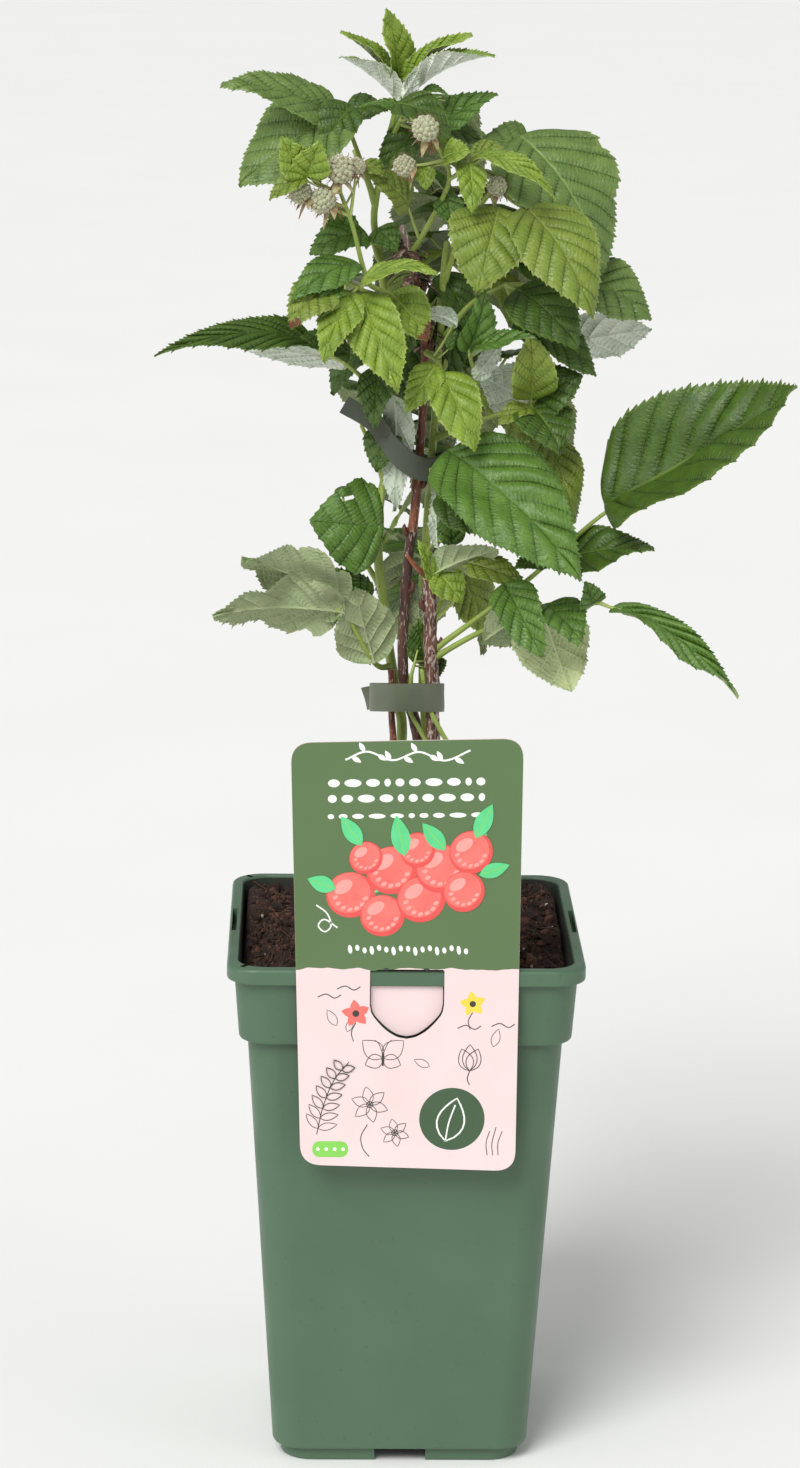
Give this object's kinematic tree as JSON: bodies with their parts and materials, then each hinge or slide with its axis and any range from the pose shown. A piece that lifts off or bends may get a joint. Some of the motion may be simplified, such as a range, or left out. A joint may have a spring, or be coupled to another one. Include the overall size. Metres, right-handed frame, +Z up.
{
  "type": "raspberry cane in a square pot",
  "caption": "Potted raspberry plant: upright canes with toothed green leaflets and unripe fruit, tied twice, in a tall square green plastic pot with a hanging card label.",
  "frame": {"origin": "centre of the pot's flat underside, on the surface it stands on", "axes": "+Z up, the label and the front on -Y, +X to the right seen from the front"},
  "size_m": [0.2951, 0.2112, 0.6997],
  "materials": {
    "pot_plastic": "green moulded plastic with a soft sheen",
    "potting_mix": "dark fibrous potting mix",
    "label_card": "thin printed plastic card",
    "tie_tape": "dark olive tying tape",
    "bark": "brown peeling bark",
    "green_stem": "smooth green young stem",
    "foliage": "pleated toothed leaflets, paler beneath"
  },
  "bodies": {
    "root": {"pot": "pot_plastic", "soil": "potting_mix", "label": "label_card", "tie_lower": "tie_tape", "tie_upper": "tie_tape", "cane_main": "bark", "cane_old": "bark", "cane_twig": "bark", "cane_stub": "bark", "young_cane_left": "green_stem", "young_cane_right": "green_stem", "slender_stem_front": "green_stem", "slender_stem_right": "green_stem", "leaves_top_rosette": "foliage", "leaves_upper_left": "foliage", "leaves_top_right": "foliage", "leaves_fruit_left": "foliage", "leaves_fruit_right": "foliage", "leaves_upper_right": "foliage", "leaves_right": "foliage", "leaves_mid_right": "foliage", "leaves_shoot_centre": "foliage", "leaves_centre": "foliage", "leaves_mid_left": "foliage", "leaves_left_upper": "foliage", "leaves_left_long": "foliage", "leaves_centre_pale": "foliage", "leaves_left_round": "foliage", "leaves_left_low": "foliage", "leaves_big_front": "foliage", "leaves_big_right": "foliage", "leaves_right_low": "foliage", "leaves_centre_right_low": "foliage", "leaves_centre_low": "foliage", "leaves_centre_slim": "foliage", "leaves_back_1": "foliage", "leaves_back_2": "foliage", "leaves_back_3": "foliage", "leaves_back_4": "foliage", "leaves_back_5": "foliage", "leaves_back_6": "foliage", "leaves_back_7": "foliage", "leaves_back_8": "foliage", "leaves_back_9": "foliage", "leaves_back_10": "foliage"}
  },
  "joints": []
}
